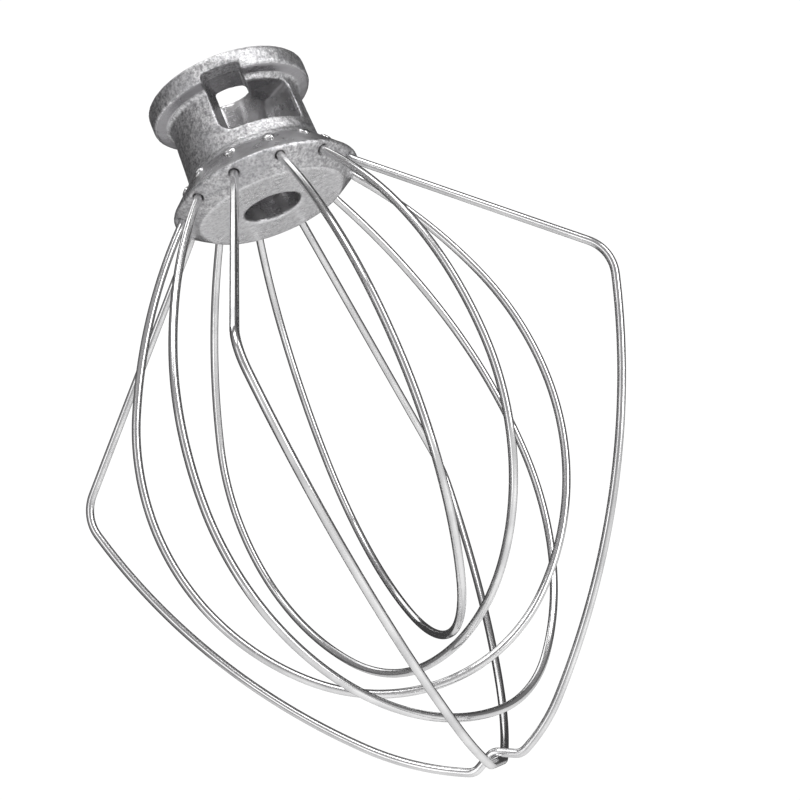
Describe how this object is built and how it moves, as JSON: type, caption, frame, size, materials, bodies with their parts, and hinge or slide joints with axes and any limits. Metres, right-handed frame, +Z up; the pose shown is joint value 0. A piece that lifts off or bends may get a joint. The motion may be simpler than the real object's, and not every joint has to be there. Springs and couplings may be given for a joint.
{
  "type": "stand mixer wire whisk",
  "caption": "Balloon wire whisk for a stand mixer: a cast bayonet hub with kite-shaped outer and rounded inner wire loops.",
  "frame": {"origin": "centre of the shaft bore at the hub's top face", "axes": "+Z up the shaft towards the mixer, the bayonet window opens towards -Y"},
  "size_m": [0.1245, 0.1187, 0.1584],
  "materials": {
    "casting": "as-cast, grained, with machined edges",
    "wire": "bright drawn wire"
  },
  "bodies": {
    "root": {"hub": "casting", "outer_wire_notched": "wire", "outer_wire_plain": "wire", "inner_wire_1": "wire", "inner_wire_2": "wire", "inner_wire_3": "wire", "inner_wire_4": "wire"}
  },
  "joints": []
}
